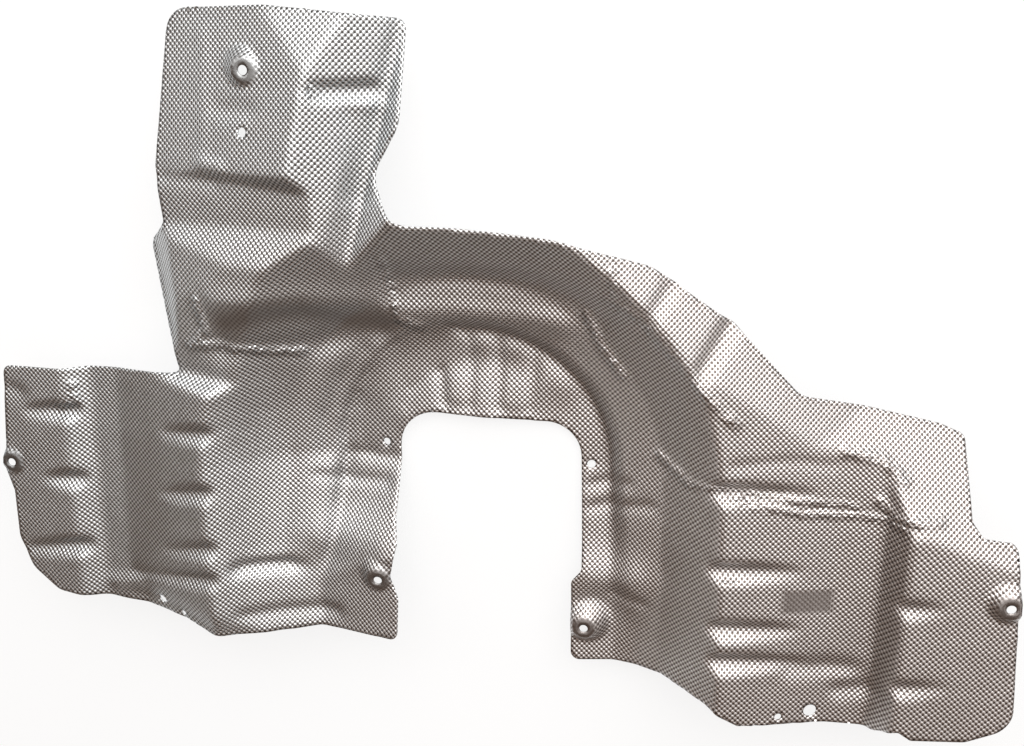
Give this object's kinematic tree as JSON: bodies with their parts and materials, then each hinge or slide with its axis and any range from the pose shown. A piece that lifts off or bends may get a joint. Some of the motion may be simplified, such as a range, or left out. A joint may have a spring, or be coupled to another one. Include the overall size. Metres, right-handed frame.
{
  "type": "exhaust heat shield",
  "caption": "Pressed embossed-aluminium exhaust heat shield, bent round a notch, with stiffening beads and bolt bosses.",
  "frame": {"origin": "centre of the tunnel's bend, level with about the tunnel's floor", "axes": "+Z out of the hollow side, +Y up the arm, +X towards the box on the right"},
  "size_m": [1.0732, 0.7028, 0.1095],
  "materials": {
    "aluminium": "bare embossed sheet"
  },
  "bodies": {
    "root": {"heat_shield": "aluminium"}
  },
  "joints": []
}
